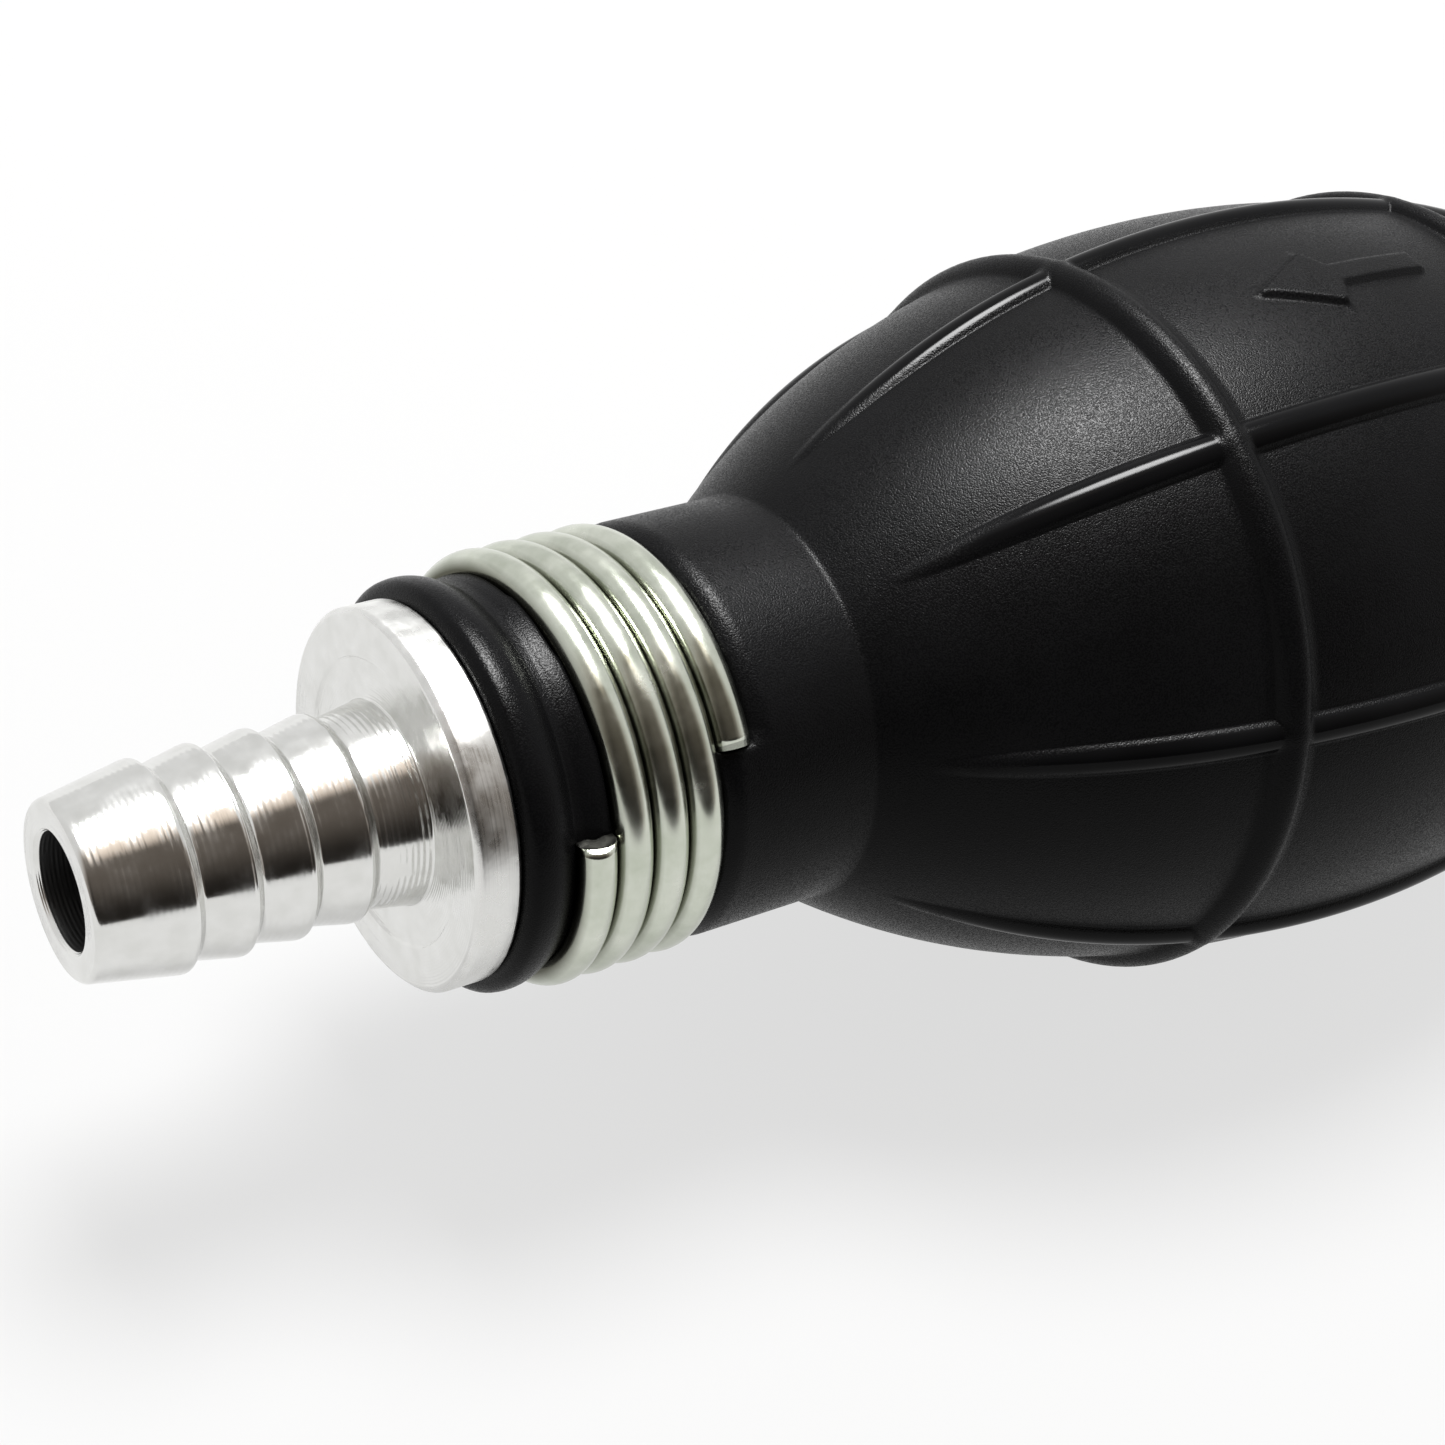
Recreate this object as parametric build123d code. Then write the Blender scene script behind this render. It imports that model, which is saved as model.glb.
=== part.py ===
"""Hand primer bulb pump for a 12 mm fuel hose.

A ribbed rubber bulb is clamped by a wire coil onto a turned aluminium hose fitting at each end.
Each fitting holds a spring-loaded check valve, so squeezing the bulb moves fluid one way only.

Frame: millimetres, origin at the middle of the bulb on the flow axis, +X towards the outlet and
+Z up through the flow arrow. Lengths along an end are given as depths from that end's tip face.
"""
import os
from math import asin, cos, hypot, radians, sin, sqrt

from build123d import *

os.makedirs("parts", exist_ok=True)

# Whole pump
LENGTH = 160.7
HALF_LENGTH = LENGTH / 2

# Hose barb: four ridges, then a fifth taper that runs into the flange
BORE_R = 3.25
BORE_CHAMFER = 0.25
TIP_R = 5.0
TIP_CHAMFER = 0.2
CREST_R = 5.9
ROOT_R = 5.35
RIDGES = 4
RIDGE_PITCH = 3.33
FIRST_CREST = 5.0
CREST_LAND = 0.3
BACK_SLOPE = 0.85

# Flange between the hose and the bulb
FLANGE_R = 11.0
FLANGE_FRONT = 18.7
FLANGE_REAR = 21.4
FLANGE_FRONT_CHAMFER = 0.35
FLANGE_REAR_CHAMFER = 0.2
FACE_STEP_R = 8.2
FACE_STEP = 0.06

# Shank inside the rubber neck, and the valve chamber bored into it
SHANK_R = 8.6
SHANK_END = 43.0
SHANK_CHAMFER = 0.5
GRIP_GROOVES = (27.5, 33.0)
GRIP_GROOVE_WIDTH = 1.6
GRIP_GROOVE_DEPTH = 0.4
CHAMBER_R = 6.6
CHAMBER_FLOOR = 24.6
SEAT_LIP_R = 4.0
SEAT_LIP = 0.4
CLIP_GROOVE_R = 7.15
CLIP_GROOVE_START = 40.9
CLIP_GROOVE_WIDTH = 0.9

# Bulb: a long belly arc, a tighter shoulder arc each side, and a small hollow into each neck
BULB_R = 23.7
BELLY_ARC_R = 71.3
BELLY_HALF = 13.4
SHOULDER_ARC_R = 57.0
NECK_FILLET_R = 0.6
WALL = 3.0
NECK_R = 12.3
NECK_BORE_R = 8.63
NECK_MOUTH = 21.45
LIP_MOUTH_R = 11.6
LIP_CREST_R = 11.94
LIP_CREST = 22.6
LIP_END_R = 11.15
LIP_END = 24.6
CLAMP_SEAT_R = 10.2

# The pump's own weight flattens the soft wall this much where it lies on a table
REST_FLAT = 0.12

# Moulded ribs, rings and flow arrow
RIB_COUNT = 8
RIB_HEIGHT = 0.7
RIB_WIDTH = 1.6
RIB_FADE_R = 42.0
RIB_HALF_LENGTH = 31.6
RING_X = 14.35
RING_HEIGHT = 0.85
RING_SECTION_R = 1.25
ARROW_TIP_X = 6.1
ARROW_BARB_X = 0.9
ARROW_NOTCH_X = 0.1
ARROW_TAIL_X = -7.0
ARROW_HALF_WIDTH = 2.5
ARROW_SHAFT_HALF_WIDTH = 0.85
ARROW_HEIGHT = 0.4

# Part of the bulb's top wall that the hand presses in
PANEL_HALF_X = 22.0
PANEL_HALF_Y = 12.0
PANEL_CORNER_R = 8.0
PANEL_GAP = 0.3

# Wire coil clamp
WIRE_R = 1.17
COIL_R = 11.4
COIL_PITCH = 2.38
COIL_TURNS = 3.958
COIL_START = 25.9
COIL_START_ANGLE = -66.0
SEAT_CLEARANCE = 0.08

# Check valve: poppet, its rubber seal, spring, and the ring or retainer held by a circlip
POPPET_R = 5.2
POPPET_DISC = 1.7
POPPET_STANDOFF = 0.1
POPPET_HUB_R = 1.6
WING_R = 6.55
WING_LENGTH = 4.5
WING_WIDTH = 1.2
WING_COUNT = 4
PILOT_R = 3.9
PILOT_LENGTH = 2.0
SEAL_INNER_R = 2.9
SEAL_OUTER_R = 4.6
SEAL_HEIGHT = 1.1
SEAT_GAP = 0.02
SPRING_R = 4.4
SPRING_WIRE_R = 0.3
SPRING_TURNS = 5
INSERT_R = 6.55
INSERT_FRONT = 38.2
INSERT_THICKNESS = 2.65
INSERT_BORE_R = 3.6
ORING_INNER_R = 5.5
ORING_HALF_WIDTH = 0.55
ORING_CLEARANCE = 0.03
RETAINER_HOLES = 6
RETAINER_HOLE_R = 1.0
RETAINER_HOLE_CIRCLE_R = 2.7
CLIP_R = 7.1
CLIP_INNER_R = 6.0
CLIP_THICKNESS = 0.75
CLIP_GAP_HALF_WIDTH = 3.2
CLIP_LUG_R = 1.1
CLIP_LUG_HOLE_R = 0.5

FAR = 60.0


def x_at(depth):
    """X of a plane at this depth from the outlet's tip face."""
    return HALF_LENGTH - depth


def turned(profile):
    """Solid of revolution about the flow axis from (depth, radius) corners at the outlet end."""
    corners = [(x_at(depth), radius) for depth, radius in profile]
    face = make_face(Polyline(*corners, close=True))
    return revolve(face, Axis.X, 360)


def washer(front, rear, inner_r, outer_r):
    """Plain ring between two depths."""
    return turned([(front, inner_r), (front, outer_r), (rear, outer_r), (rear, inner_r)])


def at_inlet(shape):
    """The same shape at the other end of the pump."""
    return shape.rotate(Axis.Z, 180)


def facing_back(shape):
    """Shape turned end for end about the middle of the valve chamber, at the same end."""
    middle = Axis((x_at((CHAMBER_FLOOR + INSERT_FRONT) / 2), 0, 0), (0, 0, 1))
    return shape.rotate(middle, 180)


def wire_coil(start_depth, coil_r, wire_r, pitch, turns, start_angle):
    """Right-handed round wire coil that ends at start_depth, where start_angle is from +Z about +X."""
    length = pitch * turns
    helix = Helix(pitch=pitch, height=length, radius=coil_r)
    section = Plane(origin=helix @ 0, z_dir=helix % 0) * Circle(wire_r)
    coil = sweep(section, path=helix, is_frenet=True)
    along_x = coil.rotate(Axis.Y, 90)
    inner_end_angle = start_angle - 360 * turns
    turned_coil = along_x.rotate(Axis.X, inner_end_angle - 180)
    return turned_coil.moved(Location((x_at(start_depth) - length, 0, 0)))


# Fittings -------------------------------------------------------------------------------------

def barb_profile():
    """Outer corners of the hose barb from the tip to the flange face."""
    corners = [(0, BORE_R + BORE_CHAMFER), (0, TIP_R - TIP_CHAMFER), (TIP_CHAMFER, TIP_R)]
    for ridge in range(RIDGES):
        crest = FIRST_CREST + ridge * RIDGE_PITCH
        corners.append((crest, CREST_R))
        corners.append((crest + CREST_LAND, CREST_R))
        corners.append((crest + CREST_LAND + BACK_SLOPE, ROOT_R))
    corners.append((FLANGE_FRONT + FACE_STEP, CREST_R))
    return corners


def shank_profile():
    """Outer corners from the flange face over the grooved shank to the chamber's mouth."""
    corners = [
        (FLANGE_FRONT + FACE_STEP, FACE_STEP_R),
        (FLANGE_FRONT, FACE_STEP_R + FACE_STEP),
        (FLANGE_FRONT, FLANGE_R - FLANGE_FRONT_CHAMFER),
        (FLANGE_FRONT + FLANGE_FRONT_CHAMFER, FLANGE_R),
        (FLANGE_REAR - FLANGE_REAR_CHAMFER, FLANGE_R),
        (FLANGE_REAR, FLANGE_R - FLANGE_REAR_CHAMFER),
        (FLANGE_REAR, SHANK_R),
    ]
    for groove in GRIP_GROOVES:
        floor_r = SHANK_R - GRIP_GROOVE_DEPTH
        corners.append((groove, SHANK_R))
        corners.append((groove + GRIP_GROOVE_DEPTH, floor_r))
        corners.append((groove + GRIP_GROOVE_WIDTH, floor_r))
        corners.append((groove + GRIP_GROOVE_WIDTH, SHANK_R))
    corners.append((SHANK_END - SHANK_CHAMFER, SHANK_R))
    corners.append((SHANK_END, SHANK_R - SHANK_CHAMFER))
    return corners


def fitting(has_seat_lip):
    """Turned aluminium fitting with a valve chamber, a through bore and a circlip groove."""
    clip_groove_end = CLIP_GROOVE_START + CLIP_GROOVE_WIDTH
    chamber = [
        (SHANK_END, CHAMBER_R),
        (clip_groove_end, CHAMBER_R),
        (clip_groove_end, CLIP_GROOVE_R),
        (CLIP_GROOVE_START, CLIP_GROOVE_R),
        (CLIP_GROOVE_START, CHAMBER_R),
        (CHAMBER_FLOOR, CHAMBER_R),
    ]
    if has_seat_lip:
        chamber += [(CHAMBER_FLOOR, SEAT_LIP_R), (CHAMBER_FLOOR + SEAT_LIP, SEAT_LIP_R)]
        chamber.append((CHAMBER_FLOOR + SEAT_LIP, BORE_R))
    else:
        chamber.append((CHAMBER_FLOOR, BORE_R))
    chamber.append((BORE_CHAMFER, BORE_R))
    return turned(barb_profile() + shank_profile() + chamber)


# Bulb -----------------------------------------------------------------------------------------

def tangent_circle_below(circle, x, radius):
    """Circle (centre x, centre y, radius) that touches another from inside at this x."""
    centre_x, centre_y, outer_radius = circle
    angle = asin((x - centre_x) / outer_radius)
    reach = outer_radius - radius
    return (centre_x + reach * sin(angle), centre_y + reach * cos(angle), radius)


def offset(circle, distance):
    """Concentric circle, larger by this distance."""
    return (circle[0], circle[1], circle[2] + distance)


def top_of(circle, x):
    """Height of the circle's upper side at x."""
    return circle[1] + sqrt(circle[2] ** 2 - (x - circle[0]) ** 2)


def arc_over(circle, start_x, end_x):
    """Arc of the circle's upper side between two x values."""
    points = [(x, top_of(circle, x)) for x in (start_x, (start_x + end_x) / 2, end_x)]
    return ThreePointArc(*points)


BELLY = (0.0, BULB_R - BELLY_ARC_R, BELLY_ARC_R)
SHOULDER = tangent_circle_below(BELLY, BELLY_HALF, SHOULDER_ARC_R)


def closed_revolve(half_outline, end_x):
    """Solid of revolution from an outline that runs from x = 0 to end_x, mirrored to the other side."""
    outline = half_outline + mirror(half_outline, about=Plane.YZ)
    outline += Line((-end_x, 0), (end_x, 0))
    return revolve(make_face(outline), Axis.X, 360)


def bulb_body():
    """Filled outer form of the bulb with its necks, lips and clamp seats, without ribs."""
    fillet_y = NECK_R + NECK_FILLET_R
    reach = SHOULDER_ARC_R + NECK_FILLET_R
    fillet_x = SHOULDER[0] + sqrt(reach**2 - (fillet_y - SHOULDER[1]) ** 2)
    share = SHOULDER_ARC_R / reach
    touch = (
        SHOULDER[0] + (fillet_x - SHOULDER[0]) * share,
        SHOULDER[1] + (fillet_y - SHOULDER[1]) * share,
    )
    to_touch = (touch[0] - fillet_x, touch[1] - fillet_y)
    middle = (to_touch[0] / 2, (to_touch[1] - NECK_FILLET_R) / 2)
    scale = NECK_FILLET_R / hypot(*middle)
    fillet_middle = (fillet_x + middle[0] * scale, fillet_y + middle[1] * scale)

    mouth_x = x_at(NECK_MOUTH)
    seat_inner_x = x_at(COIL_START + COIL_PITCH * COIL_TURNS + WIRE_R + SEAT_CLEARANCE)
    seat_outer_x = x_at(COIL_START - WIRE_R - SEAT_CLEARANCE)
    half = Curve() + [
        arc_over(BELLY, 0, BELLY_HALF),
        arc_over(SHOULDER, BELLY_HALF, touch[0]),
        ThreePointArc(touch, fillet_middle, (fillet_x, NECK_R)),
        Polyline(
            (fillet_x, NECK_R),
            (seat_inner_x, NECK_R),
            (seat_inner_x, CLAMP_SEAT_R),
            (seat_outer_x, CLAMP_SEAT_R),
            (x_at(LIP_END), LIP_END_R),
        ),
        ThreePointArc(
            (x_at(LIP_END), LIP_END_R),
            (x_at(LIP_CREST), LIP_CREST_R),
            (mouth_x, LIP_MOUTH_R),
        ),
        Line((mouth_x, LIP_MOUTH_R), (mouth_x, 0)),
    ]
    below_rest = Location((0, 0, REST_FLAT - BULB_R - FAR / 2)) * Box(FAR, FAR, FAR)
    return closed_revolve(half, mouth_x) - below_rest


def bulb_cavity():
    """Filled inner form of the bulb, with a straight bore through each neck."""
    belly = offset(BELLY, -WALL)
    shoulder = offset(SHOULDER, -WALL)
    belly_end = belly[2] * BELLY_HALF / BELLY_ARC_R
    bore_x = shoulder[0] + sqrt(shoulder[2] ** 2 - (NECK_BORE_R - shoulder[1]) ** 2)
    past_mouth_x = HALF_LENGTH
    half = Curve() + [
        arc_over(belly, 0, belly_end),
        arc_over(shoulder, belly_end, bore_x),
        Polyline((bore_x, NECK_BORE_R), (past_mouth_x, NECK_BORE_R), (past_mouth_x, 0)),
    ]
    return closed_revolve(half, past_mouth_x)


def ribs():
    """Lengthwise ribs, evenly spaced either side of the flow arrow, that fade out before the necks."""
    crest = offset(BELLY, RIB_HEIGHT)
    fade = tangent_circle_below(crest, BELLY_HALF, RIB_FADE_R)
    half = Curve() + [
        arc_over(crest, 0, BELLY_HALF),
        arc_over(fade, BELLY_HALF, RIB_HALF_LENGTH),
        Line((RIB_HALF_LENGTH, top_of(fade, RIB_HALF_LENGTH)), (RIB_HALF_LENGTH, 0)),
    ]
    envelope = closed_revolve(half, RIB_HALF_LENGTH)
    spacing = 360 / RIB_COUNT
    blade = Box(2 * FAR, 2 * FAR, RIB_WIDTH)
    blades = [blade.rotate(Axis.X, spacing / 2 + 90 + spacing * i) for i in range(RIB_COUNT // 2)]
    return envelope & (Part() + blades)


def ring(x):
    """Raised round-topped ring about the bulb."""
    centre_r = top_of(SHOULDER, abs(x)) + RING_HEIGHT - RING_SECTION_R
    return revolve(Location((x, centre_r)) * Circle(RING_SECTION_R), Axis.X, 360)


def flow_arrow():
    """Raised arrow on top of the bulb, pointing to the outlet."""
    upper_side = [
        (ARROW_BARB_X, ARROW_HALF_WIDTH),
        (ARROW_NOTCH_X, ARROW_SHAFT_HALF_WIDTH),
        (ARROW_TAIL_X, ARROW_SHAFT_HALF_WIDTH),
    ]
    lower_side = [(x, -y) for x, y in reversed(upper_side)]
    face = make_face(Polyline((ARROW_TIP_X, 0), *upper_side, *lower_side, close=True))
    raised = offset(BELLY, ARROW_HEIGHT)
    half = Curve() + [
        arc_over(raised, 0, BELLY_HALF),
        Line((BELLY_HALF, top_of(raised, BELLY_HALF)), (BELLY_HALF, 0)),
    ]
    return extrude(face, FAR) & closed_revolve(half, BELLY_HALF)


def panel_prism(margin):
    """Upright prism over the pressed part of the wall, larger all round by this margin."""
    outline = RectangleRounded(
        2 * (PANEL_HALF_X + margin),
        2 * (PANEL_HALF_Y + margin),
        PANEL_CORNER_R + margin,
    )
    return extrude(outline, FAR)


# Check valve ----------------------------------------------------------------------------------
# Each poppet is drawn closed against the lip of the insert ring, opening towards the hose barb.

POPPET_FACE = INSERT_FRONT - SEAT_LIP
DISC_BACK = POPPET_FACE - POPPET_STANDOFF - POPPET_DISC
SEAL_BACK = POPPET_FACE - SEAL_HEIGHT
WING_END = DISC_BACK - WING_LENGTH
PILOT_END = WING_END - PILOT_LENGTH


def poppet():
    """Disc with a seal groove in its face and guide wings that also carry the spring."""
    face = POPPET_FACE - POPPET_STANDOFF
    disc = turned([(face, 0), (face, POPPET_R), (DISC_BACK, POPPET_R), (DISC_BACK, 0)])
    disc -= washer(SEAL_BACK, POPPET_FACE, SEAL_INNER_R, SEAL_OUTER_R)
    hub = turned([(DISC_BACK, 0), (DISC_BACK, POPPET_HUB_R), (PILOT_END, POPPET_HUB_R), (PILOT_END, 0)])
    envelope = turned(
        [
            (DISC_BACK, 0),
            (DISC_BACK, WING_R),
            (WING_END, WING_R),
            (WING_END, PILOT_R),
            (PILOT_END, PILOT_R),
            (PILOT_END, 0),
        ]
    )
    blade = Box(2 * FAR, 2 * FAR, WING_WIDTH)
    blades = [blade.rotate(Axis.X, 360 / WING_COUNT * i) for i in range(WING_COUNT // 2)]
    wings = envelope & (Part() + blades).moved(Location((x_at(DISC_BACK), 0, 0)))
    return disc + hub + wings


def poppet_seal():
    """Flat rubber ring in the poppet's face, just short of the seat."""
    return washer(SEAL_BACK, POPPET_FACE - SEAT_GAP, SEAL_INNER_R, SEAL_OUTER_R)


def valve_spring():
    """Spring between the poppet's wings and the end of the chamber."""
    length = WING_END - CHAMBER_FLOOR - 2 * SPRING_WIRE_R
    pitch = length / SPRING_TURNS
    start = CHAMBER_FLOOR + SPRING_WIRE_R
    return wire_coil(start, SPRING_R, SPRING_WIRE_R, pitch, SPRING_TURNS, 0)


def seat_ring():
    """Outlet valve seat: a ring with a raised lip and an O-ring groove in its rim."""
    rear = INSERT_FRONT + INSERT_THICKNESS
    middle = (INSERT_FRONT + rear) / 2
    body = turned(
        [
            (POPPET_FACE, INSERT_BORE_R),
            (POPPET_FACE, SEAT_LIP_R),
            (INSERT_FRONT, SEAT_LIP_R),
            (INSERT_FRONT, INSERT_R),
            (rear, INSERT_R),
            (rear, INSERT_BORE_R),
        ]
    )
    return body - washer(middle - ORING_HALF_WIDTH, middle + ORING_HALF_WIDTH, ORING_INNER_R, CHAMBER_R)


def seat_oring():
    """O-ring flattened between the seat ring's groove and the chamber wall."""
    middle = INSERT_FRONT + INSERT_THICKNESS / 2
    half_width = ORING_HALF_WIDTH - ORING_CLEARANCE
    inner_r = ORING_INNER_R + ORING_CLEARANCE
    outer_r = CHAMBER_R - ORING_CLEARANCE
    section = RectangleRounded(2 * half_width, outer_r - inner_r, half_width * 0.8)
    return revolve(Location((x_at(middle), (inner_r + outer_r) / 2)) * section, Axis.X, 360)


def spring_retainer():
    """Perforated disc that carries the inlet valve's spring and lets the fluid through."""
    rear = INSERT_FRONT + INSERT_THICKNESS
    disc = turned([(INSERT_FRONT, 0), (INSERT_FRONT, INSERT_R), (rear, INSERT_R), (rear, 0)])
    hole = Cylinder(RETAINER_HOLE_R, 2 * FAR, rotation=(0, 90, 0))
    for i in range(RETAINER_HOLES):
        angle = radians(360 / RETAINER_HOLES * i)
        hole_y = RETAINER_HOLE_CIRCLE_R * cos(angle)
        hole_z = RETAINER_HOLE_CIRCLE_R * sin(angle)
        disc -= hole.moved(Location((x_at(rear), hole_y, hole_z)))
    return disc - hole.moved(Location((x_at(rear), 0, 0)))


def circlip():
    """Internal retaining ring with two drilled lugs at its gap."""
    front = CLIP_GROOVE_START + (CLIP_GROOVE_WIDTH - CLIP_THICKNESS) / 2
    outline = Circle(CLIP_R) - Circle(CLIP_INNER_R)
    outline -= Location((CLIP_R, 0)) * Rectangle(CLIP_R, 2 * CLIP_GAP_HALF_WIDTH)
    lug_y = CLIP_GAP_HALF_WIDTH
    lug_x = sqrt(CLIP_INNER_R**2 - lug_y**2) - CLIP_LUG_R / 2
    for side in (-1, 1):
        outline += Location((lug_x, side * lug_y)) * Circle(CLIP_LUG_R)
    for side in (-1, 1):
        outline -= Location((lug_x, side * lug_y)) * Circle(CLIP_LUG_HOLE_R)
    ring_solid = extrude(outline, CLIP_THICKNESS)
    return ring_solid.rotate(Axis.Y, -90).moved(Location((x_at(front), 0, 0)))


# Assembly -------------------------------------------------------------------------------------

whole_bulb = bulb_body() + ribs() + ring(RING_X) + ring(-RING_X) + flow_arrow() - bulb_cavity()
clamp = wire_coil(COIL_START, COIL_R, WIRE_R, COIL_PITCH, COIL_TURNS, COIL_START_ANGLE)

parts = {
    "bulb": whole_bulb - panel_prism(0),
    "bulb_squeeze_wall": whole_bulb & panel_prism(-PANEL_GAP),
    "outlet_fitting": fitting(has_seat_lip=False),
    "inlet_fitting": at_inlet(fitting(has_seat_lip=True)),
    "outlet_clamp": clamp,
    "inlet_clamp": at_inlet(clamp),
    "outlet_poppet": poppet(),
    "outlet_poppet_seal": poppet_seal(),
    "outlet_spring": valve_spring(),
    "outlet_seat_ring": seat_ring(),
    "outlet_seat_oring": seat_oring(),
    "outlet_circlip": circlip(),
    "inlet_poppet": at_inlet(facing_back(poppet())),
    "inlet_poppet_seal": at_inlet(facing_back(poppet_seal())),
    "inlet_spring": at_inlet(facing_back(valve_spring())),
    "inlet_spring_retainer": at_inlet(spring_retainer()),
    "inlet_circlip": at_inlet(circlip()),
}

for name, shape in parts.items():
    export_step(shape, f"parts/{name}.step")
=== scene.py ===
"""Looks of the hand primer bulb pump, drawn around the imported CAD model.

The sizes below are in millimetres, in the CAD frame: +X along the flow to the outlet, +Z up through
the flow arrow, origin at the middle of the bulb. MM turns them into the frame's metres. An angle
about the flow axis is measured from +Z, right-handed about +X. A depth is the distance from an
end's tip face, and both ends are built alike, so an end is drawn once and turned for the inlet.
"""

from math import asin, cos, radians, sin, sqrt, tau

import bpy
import bmesh
import numpy as np
from mathutils import Euler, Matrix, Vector

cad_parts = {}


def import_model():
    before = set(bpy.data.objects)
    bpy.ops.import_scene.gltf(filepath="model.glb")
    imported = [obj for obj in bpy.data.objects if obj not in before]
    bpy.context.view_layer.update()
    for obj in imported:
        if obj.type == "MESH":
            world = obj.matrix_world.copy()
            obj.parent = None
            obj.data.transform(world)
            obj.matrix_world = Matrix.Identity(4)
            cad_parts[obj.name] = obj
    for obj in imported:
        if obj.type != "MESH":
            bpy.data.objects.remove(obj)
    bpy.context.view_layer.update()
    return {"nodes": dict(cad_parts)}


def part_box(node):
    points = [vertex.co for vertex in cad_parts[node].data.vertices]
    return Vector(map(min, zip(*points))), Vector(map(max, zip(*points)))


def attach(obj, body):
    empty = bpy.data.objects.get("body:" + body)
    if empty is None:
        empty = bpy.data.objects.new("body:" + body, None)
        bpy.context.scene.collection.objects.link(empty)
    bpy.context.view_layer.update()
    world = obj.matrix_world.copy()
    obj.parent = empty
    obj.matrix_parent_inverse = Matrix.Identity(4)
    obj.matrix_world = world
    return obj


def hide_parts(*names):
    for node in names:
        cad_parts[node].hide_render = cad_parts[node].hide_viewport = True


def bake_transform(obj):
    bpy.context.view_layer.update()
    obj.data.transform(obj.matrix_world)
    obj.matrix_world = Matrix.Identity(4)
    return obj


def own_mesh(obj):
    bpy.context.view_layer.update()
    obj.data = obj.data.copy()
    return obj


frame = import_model()

MM = 0.001


def box_mm(node):
    """A CAD node's lowest and highest corners, in millimetres."""
    low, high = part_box(node)
    return low / MM, high / MM


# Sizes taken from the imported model
HALF_LENGTH = box_mm("outlet_fitting")[1].x
FLANGE_R = box_mm("outlet_fitting")[1].y
BULB_R = box_mm("bulb")[1].y
BULB_MOUTH_X = box_mm("bulb")[1].x
FLOOR_Z = box_mm("bulb")[0].z
COIL_OUTER_R = box_mm("outlet_clamp")[1].y
SPRING_BOX = {end: box_mm(f"{end}_spring") for end in ("outlet", "inlet")}

# Bulb: belly and shoulder arcs, a small hollow into the neck
BELLY_ARC_R = 71.3
BELLY_HALF = 13.4
SHOULDER_ARC_R = 57.0
NECK_FILLET_R = 0.6
NECK_R = 12.3
NECK_BORE_R = 8.63
NECK_START = 36.5
WALL = 3.0

# Lip and rubber band in front of the clamp, each a round bead
LIP_R = 11.94
LIP_DEPTH = 22.6
LIP_ROUND = 2.4
LIP_FRONT_ROUND = 0.6
BAND_R = 11.42
BAND_DEPTH = 26.3
BAND_ROUND = 3.3
BAND_MIN_R = 11.2
CLAMP_ZONE_SMOOTHNESS = 0.3

# Ribs, rings and flow arrow moulded on the bulb. Rubber that stands higher than POLISHED_ABOVE is
# smooth, and a ring's height counts for this in part only.
RIB_COUNT = 8
RIB_HEIGHT = 0.65
RIB_SECTION_R = 1.2
RIB_FADE_END = 34.0
RIB_FADE_POWER = 3
RING_X = 14.35
RING_HEIGHT = 0.85
RING_SECTION_R = 1.25
CROSSING_POWER = 6
POLISHED_ABOVE = 0.2
RING_POLISH = 0.26
ARROW_OUTLINE = ((6.1, 0), (0.9, 2.5), (0.1, 0.85), (-7.0, 0.85))
ARROW_HEIGHT = 0.4
ARROW_EDGE = 0.28
ARROW_EDGE_OUTSIDE = 0.72

# Mesh of the skin along the axis: where its zones end, and the spacing in each
ARROW_REACH = 7.6
CLAMP_REACH = 42.0
FILLET_BEFORE = 1.0
FILLET_AFTER = 0.2
ARROW_STEP = 0.2
BULB_STEP = 0.6
EDGE_STEP = 0.12
NECK_STEP = 0.5
CLAMP_STEP = 0.16
INSIDE_NECK_STEP = 3.0
INSIDE_STEP = 1.5

# The same about the axis, in degrees. A zone reaches this far to either side of its middle.
RIB_ZONE = 3.6
ARROW_ZONE = 6.5
RIB_TURN = 0.24
PANEL_TURN = 2.2
PANEL_MIDDLE_TURN = 2.4
ARROW_TURN = 0.45

# Wire coil clamp
WIRE_R = 1.13
COIL_R = COIL_OUTER_R - WIRE_R
COIL_PITCH = 2.28
COIL_TURNS = 3.958
COIL_START = 25.6
COIL_END = COIL_START + COIL_PITCH * COIL_TURNS
COIL_START_ANGLE = -66.0
WIRE_GAP = 0.03
NECK_EDGE_WIDTH = 1.3
NECK_EDGE_DROP = 0.55
COIL_SIDES = 32
COIL_STEP_DEGREES = 3

# Broken edge of a wire's cut end: rings by their share of the wire's radius and how far ahead they
# stand, in wire radii. The slant is how far the clamp wire's outer side is cut back, for each
# millimetre outwards.
CUT_RINGS = ((0.93, 0.09), (0.5, 0.1))
CLAMP_CUT_SLANT = 0.5

# Hose fitting
BORE_R = 3.25
BORE_CHAMFER = 0.25
TIP_R = 5.0
TIP_CHAMFER = 0.2
CREST_R = 5.9
ROOT_R = 5.35
RIDGES = 4
RIDGE_PITCH = 3.33
FIRST_CREST = 5.0
CREST_LAND = 0.3
BACK_SLOPE = 0.5
FLANGE_FRONT = 18.7
FLANGE_REAR = 21.4
FLANGE_FRONT_CHAMFER = 0.35
FLANGE_REAR_CHAMFER = 0.2
FACE_STEP_R = 8.2
FACE_STEP = 0.15
SHANK_R = 8.6
SHANK_END = 43.0
SHANK_CHAMFER = 0.5
GRIP_GROOVES = (27.5, 33.0)
GRIP_GROOVE_WIDTH = 1.6
GRIP_GROOVE_DEPTH = 0.4
CHAMBER_R = 6.6
CHAMBER_FLOOR = 24.6
SEAT_LIP_R = 4.0
SEAT_LIP = 0.4
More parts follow.
